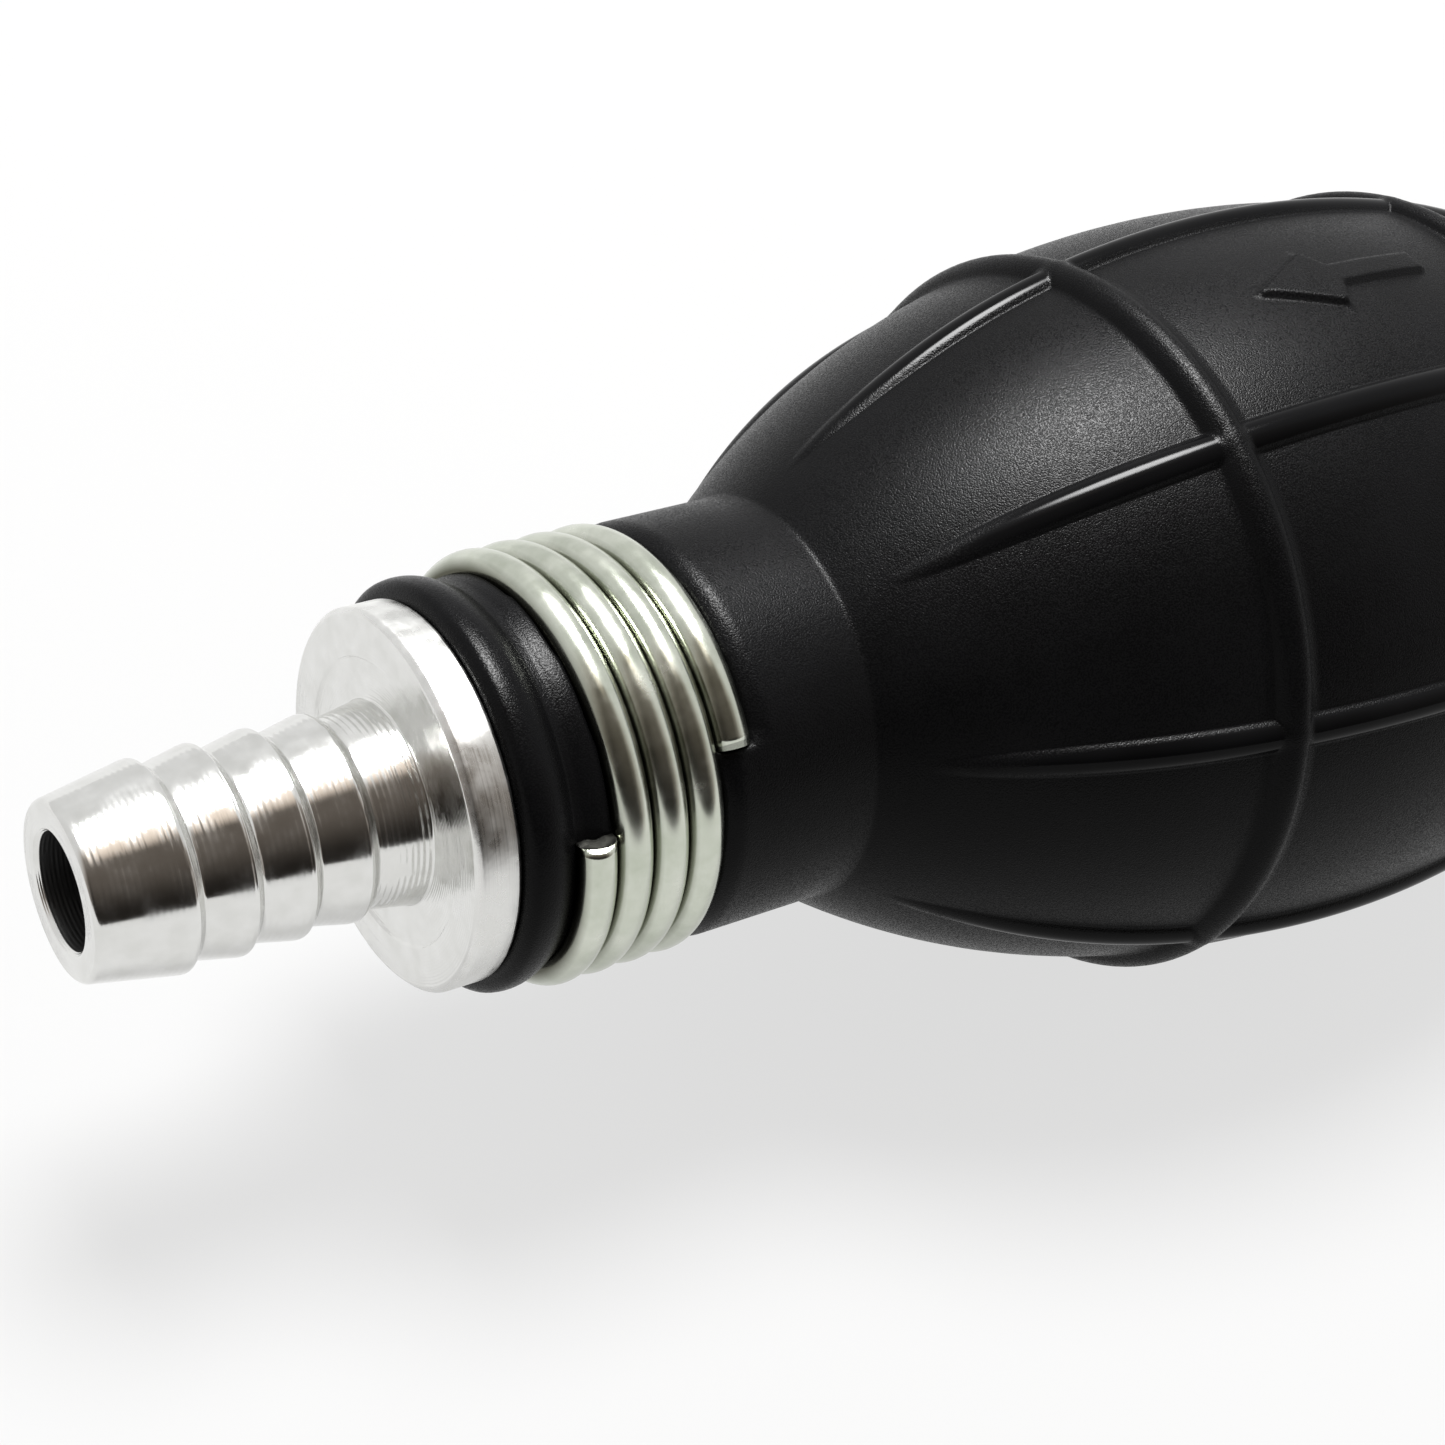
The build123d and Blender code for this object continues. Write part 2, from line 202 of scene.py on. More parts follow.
CLIP_GROOVE_R = 7.15
CLIP_GROOVE_START = 40.9
CLIP_GROOVE_WIDTH = 0.9

# Tool marks: the feed's pitch along a side, and how many times closer marks lie on a face
FEED_PITCH = 0.25
MARKS_SLANT = 1.37

# Where the flange's handled rim begins and where it is at its full, and how far out of the bore its
# dull surface fades
RIM_START_R = FLANGE_R - 0.45
RIM_FULL_R = FLANGE_R - 0.1
BORE_FADE = 0.02

# Mesh of the turned pieces
TURNED_SEGMENTS = 224
TURNED_STEP = 0.8

# Edge breaks: the most of an edge that one may take, the least worth drawing, and the steps of its
# arc
BREAK_SHARE = 0.45
LEAST_BREAK = 0.005
BREAK_ARC = (0.0, 0.33, 0.67, 1.0)

# Valve spring
SPRING_R = 4.4
SPRING_WIRE_R = 0.3
SPRING_TURNS = 5
SPRING_START_ANGLE = 0.0
SPRING_SIDES = 12
SPRING_STEP_DEGREES = 10


# Mesh helpers -------------------------------------------------------------------------------------

def smoothstep(value):
    """Smooth ramp from 0 to 1, for arrays."""
    t = np.clip(value, 0, 1)
    return t * t * (3 - 2 * t)


def new_object(name, vertices_mm, faces, material):
    """Smooth-shaded mesh object from vertices in millimetres."""
    mesh = bpy.data.meshes.new(name)
    mesh.from_pydata((np.asarray(vertices_mm) * MM).tolist(), [], faces)
    mesh.shade_smooth()
    mesh.materials.append(material)
    obj = bpy.data.objects.new(name, mesh)
    bpy.context.scene.collection.objects.link(obj)
    return obj


def band_faces(rows, columns, close_rows=False):
    """Faces of a grid that closes round each row, and also from last row to first if asked."""
    faces = []
    for i in range(rows if close_rows else rows - 1):
        here, there = i * columns, (i + 1) % rows * columns
        for j in range(columns):
            k = (j + 1) % columns
            faces.append((here + j, here + k, there + k, there + j))
    return faces


def around_axis(x, r, angle):
    """Points at these positions along, distances from, and angles about the flow axis."""
    x, r, angle = np.broadcast_arrays(x, r, angle)
    return np.stack([x, -r * np.sin(angle), r * np.cos(angle)], axis=-1)


def lathe(name, profile, material):
    """Closed turned piece from (x, r) corners that run round its whole section."""
    x, r = np.array(profile, float).T
    angle = np.linspace(0, tau, TURNED_SEGMENTS, endpoint=False)
    points = around_axis(x[:, None], r[:, None], angle[None, :])
    faces = band_faces(len(x), TURNED_SEGMENTS, close_rows=True)
    return new_object(name, points.reshape(-1, 3), faces, material)


def at_inlet(points):
    """The same points at the other end of the pump."""
    return points * np.array([-1, -1, 1])


# Bulb skin ----------------------------------------------------------------------------------------

def shoulder_circle():
    """Centre of the shoulder arc, which touches the belly arc from inside."""
    angle = asin(BELLY_HALF / BELLY_ARC_R)
    reach = BELLY_ARC_R - SHOULDER_ARC_R
    return reach * sin(angle), BULB_R - BELLY_ARC_R + reach * cos(angle)


SHOULDER_X, SHOULDER_Y = shoulder_circle()
FILLET_Y = NECK_R + NECK_FILLET_R
FILLET_REACH = SHOULDER_ARC_R + NECK_FILLET_R
FILLET_X = SHOULDER_X + sqrt(FILLET_REACH**2 - (FILLET_Y - SHOULDER_Y) ** 2)
FILLET_START = SHOULDER_X + (FILLET_X - SHOULDER_X) * SHOULDER_ARC_R / FILLET_REACH


def circle_top(x, centre_x, centre_y, radius):
    """Upper side of a circle, for arrays."""
    return centre_y + np.sqrt(np.maximum(radius**2 - (x - centre_x) ** 2, 0))


def body_radius(x):
    """Radius of the plain bulb and neck at each x."""
    x = np.abs(x)
    belly = circle_top(x, 0, BULB_R - BELLY_ARC_R, BELLY_ARC_R)
    shoulder = circle_top(x, SHOULDER_X, SHOULDER_Y, SHOULDER_ARC_R)
    hollow = FILLET_Y - np.sqrt(np.maximum(NECK_FILLET_R**2 - (x - FILLET_X) ** 2, 0))
    zones = [x < BELLY_HALF, x < FILLET_START, x < FILLET_X]
    return np.select(zones, [belly, shoulder, hollow], NECK_R)


def cavity_radius(x):
    """Radius of the inside at each x: the body's arcs one wall deeper, then the neck's bore."""
    x = np.abs(x)
    belly_end = BELLY_HALF * (1 - WALL / BELLY_ARC_R)
    belly = circle_top(x, 0, BULB_R - BELLY_ARC_R, BELLY_ARC_R - WALL)
    shoulder = circle_top(x, SHOULDER_X, SHOULDER_Y, SHOULDER_ARC_R - WALL)
    return np.maximum(np.where(x < belly_end, belly, shoulder), NECK_BORE_R)


def bead(distance, section_r, height):
    """Height of a moulded bead with a round section, sunk so that it stands this high."""
    across = np.sqrt(np.maximum(section_r**2 - distance**2, 0))
    return np.where(np.abs(distance) < section_r, np.maximum(across - section_r + height, 0), 0)


def rib_height(x, angle, radius):
    """Height of the lengthwise ribs, which fade out before the necks."""
    spacing = tau / RIB_COUNT
    off_rib = (angle % spacing) - spacing / 2
    faded = np.clip((np.abs(x) - BELLY_HALF) / (RIB_FADE_END - BELLY_HALF), 0, 1) ** RIB_FADE_POWER
    return bead(off_rib * radius, RIB_SECTION_R, RIB_HEIGHT * (1 - faded))


def ring_height(x):
    """Height of the two rings about the bulb."""
    return bead(np.abs(x) - RING_X, RING_SECTION_R, RING_HEIGHT)


def arrow_height(x, side):
    """Height of the flow arrow over (x, side), sloped across its outline by the distance to it."""
    x, side = np.broadcast_arrays(x, side)
    upper = np.array(ARROW_OUTLINE)
    outline = np.concatenate([upper, upper[:0:-1] * (1, -1)])
    distance = np.full(x.shape, np.inf)
    inside = np.zeros(x.shape, bool)
    for (ax, ay), (bx, by) in zip(outline, np.roll(outline, -1, axis=0)):
        run, rise = bx - ax, by - ay
        along = np.clip(((x - ax) * run + (side - ay) * rise) / (run**2 + rise**2), 0, 1)
        distance = np.minimum(distance, np.hypot(x - ax - along * run, side - ay - along * rise))
        if rise:
            crosses = (ay > side) != (by > side)
            inside ^= crosses & (x < ax + (side - ay) * run / rise)
    signed = np.where(inside, distance, -distance)
    return ARROW_HEIGHT * smoothstep(signed / ARROW_EDGE + ARROW_EDGE_OUTSIDE)


def turn_centres(angle):
    """For each angle, the depths of the wire's turns there, from the first to the last."""
    behind_start = (COIL_START_ANGLE - np.degrees(angle)) % 360 / 360
    turns = np.arange(int(COIL_TURNS) + 1)
    place = behind_start[..., None] + turns
    depth = COIL_START + COIL_PITCH * place
    return np.where(place <= COIL_TURNS, depth, np.nan)


def clamp_zone_radius(depth, angle):
    """Radius of the rubber from the mouth to the neck: lip, band, wire grooves, neck edge."""
    front = np.maximum(HALF_LENGTH - BULB_MOUTH_X + LIP_FRONT_ROUND - depth, 0)
    lip = LIP_R - (depth - LIP_DEPTH) ** 2 / (2 * LIP_ROUND)
    lip = lip - LIP_FRONT_ROUND + np.sqrt(np.maximum(LIP_FRONT_ROUND**2 - front**2, 0))
    band = BAND_R - (depth - BAND_DEPTH) ** 2 / (2 * BAND_ROUND)
    rubber = np.maximum(np.maximum(lip, band), BAND_MIN_R)
    centres = turn_centres(angle)
    last = np.nanmax(centres, axis=-1)
    past_wire = (depth - last - WIRE_R - WIRE_GAP) / NECK_EDGE_WIDTH
    neck = NECK_R - NECK_EDGE_DROP * (1 - np.clip(past_wire, 0, 1)) ** 2
    rubber = np.where(depth > last, neck, rubber)
    reach = WIRE_R + WIRE_GAP
    for turn in range(centres.shape[-1]):
        off = np.abs(depth - centres[..., turn])
        groove = COIL_R - np.sqrt(np.maximum(reach**2 - off**2, 0))
        rubber = np.where(off < reach, np.minimum(rubber, groove), rubber)
    return rubber


def spaced(zones, start):
    """Stations from start, where each zone is (end, step)."""
    stations = [np.array([start])]
    for end, step in zones:
        count = max(1, round(abs(end - start) / step))
        stations.append(np.linspace(start, end, count + 1)[1:])
        start = end
    return np.concatenate(stations)


def lengthwise_stations():
    """Stations along the bulb, close together where the surface has detail."""
    zones = (
        (ARROW_REACH, ARROW_STEP),
        (RING_X - RING_SECTION_R, BULB_STEP),
        (RING_X + RING_SECTION_R, EDGE_STEP),
        (FILLET_X - FILLET_BEFORE, BULB_STEP),
        (FILLET_X + FILLET_AFTER, EDGE_STEP),
        (CLAMP_REACH, NECK_STEP),
        (BULB_MOUTH_X, CLAMP_STEP),
    )
    half = spaced(zones, 0.0)
    return np.concatenate([-half[:0:-1], half])


def angular_stations():
    """Stations about the axis, close together on the ribs and under the arrow."""
    spacing = 360 / RIB_COUNT
    half = spacing / 2
    stations = []
    for rib in range(RIB_COUNT):
        middle = half + spacing * rib
        arrow_is_next = rib == RIB_COUNT - 1
        zones = (
            (middle + RIB_ZONE, RIB_TURN),
            (middle + half - ARROW_ZONE, PANEL_TURN),
            (middle + half + ARROW_ZONE, ARROW_TURN if arrow_is_next else PANEL_MIDDLE_TURN),
            (middle + spacing - RIB_ZONE, PANEL_TURN),
        )
        stations.append(spaced(zones, middle - RIB_ZONE)[:-1])
    return np.radians(np.concatenate(stations))


def outer_skin_radius(x, angle):
    """Radius of the bulb's outside, and how free of grain it is, from 0 to 1."""
    base = body_radius(x)
    rib, ring = rib_height(x, angle, base), ring_height(x)
    # The higher of the two stands where a rib crosses a ring, with a small hollow in the corner
    raised = (rib**CROSSING_POWER + ring**CROSSING_POWER) ** (1 / CROSSING_POWER)
    arrow = arrow_height(x, base * np.sin(angle)) * (np.cos(angle) > 0)
    depth = HALF_LENGTH - np.abs(x)
    end_angle = np.where(x > 0, angle, -angle)
    in_clamp_zone = depth < COIL_END + COIL_PITCH
    radius = np.where(in_clamp_zone, clamp_zone_radius(depth, end_angle), base + raised + arrow)
    polish = smoothstep(np.maximum(rib - ring, ring * RING_POLISH) / POLISHED_ABOVE - 1)
    smooth = np.maximum(polish, np.where(depth < COIL_END, CLAMP_ZONE_SMOOTHNESS, 0))
    return radius, smooth


def bulb_skin(material):
    """Bulb as one rubber moulding, in place of its two CAD solids."""
    angles = angular_stations()
    x = lengthwise_stations()
    radius, smooth = outer_skin_radius(x[:, None], angles[None, :])
    outside = around_axis(x[:, None], radius, angles[None, :])
    outside[..., 2] = np.maximum(outside[..., 2], FLOOR_Z)
    outer = new_object("bulb_skin", outside.reshape(-1, 3), band_faces(len(x), len(angles)), material)
    mask = outer.data.attributes.new("smoothness", "FLOAT", "POINT")
    mask.data.foreach_set("value", np.broadcast_to(smooth, radius.shape).astype(np.float32).ravel())

    zones = (
        (-NECK_START, INSIDE_NECK_STEP),
        (NECK_START, INSIDE_STEP),
        (BULB_MOUTH_X, INSIDE_NECK_STEP),
    )
    inner_x = spaced(zones, -BULB_MOUTH_X)
    cavity = around_axis(inner_x[:, None], cavity_radius(inner_x)[:, None], angles[None, :])
    faces = [face[::-1] for face in band_faces(len(inner_x), len(angles))]
    inner = new_object("bulb_inside", cavity.reshape(-1, 3), faces, material)

    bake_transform(outer)
    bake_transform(inner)
    join_at_mouths(outer, inner, len(angles))
    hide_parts("bulb", "bulb_squeeze_wall")


def join_at_mouths(outer, inner, columns):
    """Joins the outside and the inside into one closed mesh with a flat ring at each mouth."""
    bpy.ops.object.select_all(action="DESELECT")
    for obj in (outer, inner):
        obj.select_set(True)
    outer_count = len(outer.data.vertices)
    bpy.context.view_layer.objects.active = outer
    bpy.ops.object.join()
    mesh = bmesh.new()
    mesh.from_mesh(outer.data)
    mesh.verts.ensure_lookup_table()
    total = len(mesh.verts)
    ends = ((0, outer_count, 1), (outer_count - columns, total - columns, -1))
    for outer_start, inner_start, direction in ends:
        for j in range(columns):
            k = (j + 1) % columns
            corners = (outer_start + k, outer_start + j, inner_start + j, inner_start + k)
            face = mesh.faces.new([mesh.verts[c] for c in corners[::direction]])
            face.smooth = True
    mesh.to_mesh(outer.data)
    mesh.free()


# Wire pieces --------------------------------------------------------------------------------------

def wire_rows(start_x, coil_r, wire_r, pitch, turns, start_angle, sides, step_degrees):
    """Rings of points round a wire that winds back from start_x, their centres and its direction."""
    count = int(turns * 360 / step_degrees) + 1
    angle = radians(start_angle) - np.linspace(0, turns * tau, count)
    x = start_x - np.linspace(0, pitch * turns, count)
    centre = around_axis(x, coil_r, angle)
    outward = around_axis(0.0, 1.0, angle)
    back = np.full(count, -pitch / tau)
    along = np.stack([back, coil_r * np.cos(angle), coil_r * np.sin(angle)], axis=-1)
    along /= np.linalg.norm(along, axis=-1, keepdims=True)
    sideways = np.cross(along, outward)
    turn = np.linspace(0, tau, sides, endpoint=False)[None, :, None]
    spokes = np.cos(turn) * outward[:, None] + np.sin(turn) * sideways[:, None]
    return centre[:, None] + wire_r * spokes, centre, along


def capped_wire(name, rows, centre, along, material, cut_material, wire_r, slant=0.0):
    """Closed wire with a broken edge round each cut end, whose outer half may be slanted back."""
    caps = []
    for end, forward in ((0, -1), (-1, 1)):
        middle = centre[end]
        spokes = rows[end] - middle
        outward = middle * (0, 1, 1)
        outward /= np.linalg.norm(outward)
        lean = np.maximum(spokes @ outward, 0)[:, None] * slant
        rings = []
        for share, ahead in CUT_RINGS:
            ring = middle + spokes * share + forward * along[end] * (wire_r * ahead - lean * share)
            rings.append(ring)
        caps.append(rings)
    first = [ring[None] for ring in reversed(caps[0])]
    last = [ring[None] for ring in caps[1]]
    points = np.concatenate(first + [rows] + last)
    sides = rows.shape[1]
    faces = band_faces(len(points), sides)
    end_start = (len(points) - 1) * sides
    faces.append(tuple(range(sides))[::-1])
    faces.append(tuple(range(end_start, end_start + sides)))
    wire = new_object(name, points.reshape(-1, 3), faces, material)
    wire.data.materials.append(cut_material)
    cap_faces = len(CUT_RINGS) * sides
    last_cap = len(faces) - cap_faces - 2
    for face in (*range(cap_faces), *range(last_cap, len(faces))):
        wire.data.polygons[face].material_index = 1
    return wire


def wire_clamp(end, material, cut_material):
    """Wire coil round one neck, with two slanted cuts."""
    rows, centre, along = wire_rows(
        HALF_LENGTH - COIL_START,
        COIL_R,
        WIRE_R,
        COIL_PITCH,
        COIL_TURNS,
        COIL_START_ANGLE,
        COIL_SIDES,
        COIL_STEP_DEGREES,
    )
    if end == "inlet":
        rows, centre, along = at_inlet(rows), at_inlet(centre), at_inlet(along)
    name = f"{end}_wire_clamp"
    clamp = capped_wire(name, rows, centre, along, material, cut_material, WIRE_R, CLAMP_CUT_SLANT)
    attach(clamp, "root")
    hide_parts(f"{end}_clamp")


def valve_spring(end, material, cut_material):
    """Valve spring wound back through the length of its CAD part."""
    low, high = SPRING_BOX[end]
    length = high.x - low.x - 2 * SPRING_WIRE_R
    rows, centre, along = wire_rows(
        high.x - SPRING_WIRE_R,
        SPRING_R,
        SPRING_WIRE_R,
        length / SPRING_TURNS,
        SPRING_TURNS,
        SPRING_START_ANGLE,
        SPRING_SIDES,
        SPRING_STEP_DEGREES,
    )
    name = f"{end}_valve_spring"
    spring = capped_wire(name, rows, centre, along, material, cut_material, SPRING_WIRE_R)
    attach(spring, "root")
    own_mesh(spring)
    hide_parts(f"{end}_spring")


# Fittings -----------------------------------------------------------------------------------------

def rounded(corners, breaks):
    """Closed outline whose corners are rounded off, each over the given length of its edges."""
    points = []
    count = len(corners)
    for i, wanted in enumerate(breaks):
        here = Vector(corners[i])
        before, after = Vector(corners[i - 1]) - here, Vector(corners[(i + 1) % count]) - here
        reach = min(wanted, before.length * BREAK_SHARE, after.length * BREAK_SHARE)
        if reach < LEAST_BREAK:
            points.append(tuple(here))
            continue
        start, end = here + before.normalized() * reach, here + after.normalized() * reach
        for t in BREAK_ARC:
            points.append(tuple(start.lerp(here, t).lerp(here.lerp(end, t), t)))
    return points


def subdivided(outline):
    """Closed outline with its long stretches cut into steps."""
    points = []
    for i, corner in enumerate(outline):
        start, end = Vector(corner), Vector(outline[(i + 1) % len(outline)])
        count = max(1, round((end - start).length / TURNED_STEP))
        for step in range(count):
            points.append(tuple(start.lerp(end, step / count)))
    return points


def fitting_outline(has_seat_lip):
    """Corners of a hose fitting's section, from the bore's mouth all round: (depth, radius, break)."""
    corners = [
        (0, BORE_R + BORE_CHAMFER, 0.05),
        (0, TIP_R - TIP_CHAMFER, 0.08),
        (TIP_CHAMFER, TIP_R, 0.12),
    ]
    for ridge_number in range(RIDGES):
        crest = FIRST_CREST + ridge_number * RIDGE_PITCH
        corners.append((crest, CREST_R, 0.12))
        corners.append((crest + CREST_LAND, CREST_R, 0.1))
        corners.append((crest + CREST_LAND + BACK_SLOPE, ROOT_R, 0.15))
    clip_groove_end = CLIP_GROOVE_START + CLIP_GROOVE_WIDTH
    corners += [
        (FLANGE_FRONT + FACE_STEP, CREST_R, 0.12),
        (FLANGE_FRONT + FACE_STEP, FACE_STEP_R, 0.03),
        (FLANGE_FRONT, FACE_STEP_R + FACE_STEP, 0.03),
        (FLANGE_FRONT, FLANGE_R - FLANGE_FRONT_CHAMFER, 0.1),
        (FLANGE_FRONT + FLANGE_FRONT_CHAMFER, FLANGE_R, 0.1),
        (FLANGE_REAR - FLANGE_REAR_CHAMFER, FLANGE_R, 0.06),
        (FLANGE_REAR, FLANGE_R - FLANGE_REAR_CHAMFER, 0.06),
        (FLANGE_REAR, SHANK_R, 0.05),
    ]
    floor_r = SHANK_R - GRIP_GROOVE_DEPTH
    for groove in GRIP_GROOVES:
        corners.append((groove, SHANK_R, 0.06))
        corners.append((groove + GRIP_GROOVE_DEPTH, floor_r, 0.06))
        corners.append((groove + GRIP_GROOVE_WIDTH, floor_r, 0.06))
        corners.append((groove + GRIP_GROOVE_WIDTH, SHANK_R, 0.06))
    corners += [
        (SHANK_END - SHANK_CHAMFER, SHANK_R, 0.05),
        (SHANK_END, SHANK_R - SHANK_CHAMFER, 0.05),
        (SHANK_END, CHAMBER_R, 0.05),
        (clip_groove_end, CHAMBER_R, 0.03),
        (clip_groove_end, CLIP_GROOVE_R, 0.03),
        (CLIP_GROOVE_START, CLIP_GROOVE_R, 0.03),
        (CLIP_GROOVE_START, CHAMBER_R, 0.03),
        (CHAMBER_FLOOR, CHAMBER_R, 0.1),
    ]
    seat = CHAMBER_FLOOR
    if has_seat_lip:
        seat += SEAT_LIP
        corners += [(CHAMBER_FLOOR, SEAT_LIP_R, 0.04), (seat, SEAT_LIP_R, 0.06)]
    corners += [(seat, BORE_R, 0.05), (BORE_CHAMFER, BORE_R, 0.05)]
    return corners


def fitting(end, material):
    """Turned hose fitting with its edges broken as a lathe leaves them."""
    corners = fitting_outline(has_seat_lip=end == "inlet")
    outline = rounded([(depth, r) for depth, r, _ in corners], [edge for _, _, edge in corners])
    towards = 1 if end == "outlet" else -1
    profile = [(towards * (HALF_LENGTH - depth), r) for depth, r in subdivided(outline)]
    piece = lathe(f"{end}_turned_fitting", profile[::-towards], material)
    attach(piece, "root")
    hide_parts(f"{end}_fitting")


# Materials ----------------------------------------------------------------------------------------

class Nodes:
    """A node tree under construction, with short calls for the nodes used here."""

    def __init__(self, tree):
        self.tree = tree

    def node(self, kind, **settings):
        """New node with properties set."""
        made = self.tree.nodes.new("ShaderNode" + kind)
        for name, value in settings.items():
            setattr(made, name, value)
        return made

    def feed(self, socket, value):
        """Links an output to a socket, or sets a plain value on it."""
        if isinstance(value, bpy.types.NodeSocket):
            self.tree.links.new(value, socket)
        else:
            socket.default_value = value

    def math(self, operation, *values):
        """Result of a math node on numbers and outputs."""
        made = self.node("Math", operation=operation)
        for socket, value in zip(made.inputs, values):
            self.feed(socket, value)
        return made.outputs[0]

    def ramp(self, value, low, high, to_low=0.0, to_high=1.0, smooth=False):
        """Value mapped from one range to another and held at its ends."""
        made = self.node("MapRange", interpolation_type="SMOOTHSTEP" if smooth else "LINEAR")
        for socket, number in zip(made.inputs, (value, low, high, to_low, to_high)):
            self.feed(socket, number)
        return made.outputs[0]

    def mix(self, share, first, second):
        """Number between two numbers."""
        made = self.node("Mix", data_type="FLOAT")
        for socket, value in zip(made.inputs, (share, None, first, second)):
            if value is not None:
                self.feed(socket, value)
        return made.outputs[0]

    def blend(self, share, first, second):
        """Colour between two colours."""
        made = self.node("Mix", data_type="RGBA")
        colours = [socket for socket in made.inputs if socket.type == "RGBA"]
        self.feed(made.inputs[0], share)
        for socket, colour in zip(colours, (first, second)):
            self.feed(socket, colour)
        return next(output for output in made.outputs if output.type == "RGBA")


class Shader(Nodes):
    """A surface material under construction."""

    def __init__(self, name, **constants):
        self.material = bpy.data.materials.new(name)
        self.material.use_nodes = True
        super().__init__(self.material.node_tree)
        self.surface = self.tree.nodes["Principled BSDF"]
        for socket, value in constants.items():
            self.surface.inputs[socket.replace("_", " ")].default_value = value

    def place(self):
        """The point on the object, in metres in the object's own frame."""
        return self.node("TexCoord").outputs["Object"]

    def from_axis(self):
        """The point's x, y and z and its distance from the flow axis."""
        split = self.node("SeparateXYZ")
        self.feed(split.inputs[0], self.place())
        x, y, z = split.outputs
        squares = self.math("ADD", self.math("MULTIPLY", y, y), self.math("MULTIPLY", z, z))
        return x, y, z, self.math("SQRT", squares)

    def along_cut(self):
        """Distance that grows along a turned side and out across a turned face."""
        x, _, _, radius = self.from_axis()
        return self.math("ADD", x, self.math("MULTIPLY", radius, MARKS_SLANT))

    def turned_place(self, across, around):
        """Coordinates for marks that run round the flow axis: close together across, long around."""
        _, y, z, radius = self.from_axis()
        joined = self.node("CombineXYZ")
        self.feed(joined.inputs[0], self.math("MULTIPLY", self.along_cut(), across))
        for socket, side in zip(joined.inputs[1:], (y, z)):
            self.feed(socket, self.math("MULTIPLY", self.math("DIVIDE", side, radius), around))
        return joined.outputs[0]

    def feed_lines(self, pitch_mm):
        """Even ridges round the flow axis, as a lathe tool's feed leaves them."""
        return self.math("SINE", self.math("MULTIPLY", self.along_cut(), tau / (pitch_mm * MM)))

    def noise(self, scale, detail=2.0, where=None, roughness=0.5):
        """Noise from 0 to 1, with this many features to the metre unless where says otherwise."""
        made = self.node("TexNoise")
        self.feed(made.inputs["Vector"], self.place() if where is None else where)
        made.inputs["Scale"].default_value = scale
        made.inputs["Detail"].default_value = detail
        made.inputs["Roughness"].default_value = roughness
        return made.outputs["Fac"]

    def bump(self, height, depth_mm, strength=1.0, under=None):
        """Normal from a height of this depth, over another normal if one is given."""
        made = self.node("Bump")
        self.feed(made.inputs["Height"], height)
        self.feed(made.inputs["Strength"], strength)
        made.inputs["Distance"].default_value = depth_mm * MM
        if under is not None:
            self.feed(made.inputs["Normal"], under)
        return made.outputs[0]

    def use(self, **sockets):
        """Feeds the surface's sockets and returns the material."""
        for name, value in sockets.items():
            self.feed(self.surface.inputs[name.replace("_", " ")], value)
        return self.material


def gray(value):
    """Neutral colour."""
    return (value, value, value, 1.0)


def bulb_rubber():
    """Moulded black rubber: panels with a fine sparkling grain, smoother ribs, rings and necks."""
    shader = Shader("bulb_rubber", Specular_IOR_Level=0.12)
    smoothness = shader.node("Attribute", attribute_name="smoothness").outputs["Fac"]
    grain = shader.noise(10000, detail=1.0)
    cloud = shader.noise(120, detail=3.0)
    unevenness = shader.ramp(cloud, 0.3, 0.7, 0.0, 0.04)
    grained = shader.math("ADD", shader.ramp(grain, 0.4, 0.6, 0.16, 0.46), unevenness)
    roughness = shader.mix(smoothness, grained, shader.math("ADD", unevenness, 0.11))
    grain_depth = shader.ramp(smoothness, 0.0, 1.0, 1.0, 0.05)
    normal = shader.bump(grain, 0.028, grain_depth)
    black, worn_black = (0.0035, 0.0035, 0.0038, 1), (0.0055, 0.0055, 0.006, 1)
    colour = shader.blend(shader.ramp(cloud, 0.4, 0.7), black, worn_black)
    return shader.use(Base_Color=colour, Roughness=roughness, Normal=normal)


def turned_aluminium():
    """Bright turned aluminium with tool marks round the axis, handling marks and a dull bore."""
    shader = Shader("turned_aluminium", Metallic=1.0)
    marks = shader.noise(1.0, detail=1.0, where=shader.turned_place(9000, 0.4), roughness=0.65)
    grooves = shader.noise(1.0, detail=0.0, where=shader.turned_place(4200, 0.15))
    patches = shader.noise(700, detail=3.0)
    radius = shader.from_axis()[-1]
    in_bore = shader.ramp(radius, (BORE_R + BORE_FADE) * MM, BORE_R * MM)
    on_rim = shader.ramp(radius, RIM_START_R * MM, RIM_FULL_R * MM)
    turned = shader.ramp(patches, 0.35, 0.7, 0.1, 0.22)
    handled = shader.ramp(patches, 0.3, 0.7, 0.22, 0.4)
    roughness = shader.mix(in_bore, shader.mix(on_rim, turned, handled), 0.6)
    fine = shader.bump(marks, 0.012, 0.7)
    scratched = shader.bump(patches, 0.05, shader.math("MULTIPLY", on_rim, 0.5), under=fine)
    wavering = shader.bump(grooves, 0.018, 0.7, under=scratched)
    off_rim = shader.ramp(on_rim, 0.0, 1.0, 1.0, 0.0)
    line_strength = shader.math("MULTIPLY", shader.ramp(patches, 0.35, 0.55), off_rim)
    normal = shader.bump(shader.feed_lines(FEED_PITCH), 0.006, line_strength, under=wavering)
    metal = shader.blend(shader.ramp(patches, 0.3, 0.7), (0.72, 0.72, 0.70, 1), (0.79, 0.79, 0.775, 1))
    colour = shader.blend(in_bore, metal, gray(0.12))
    return shader.use(Base_Color=colour, Roughness=roughness, Normal=normal)


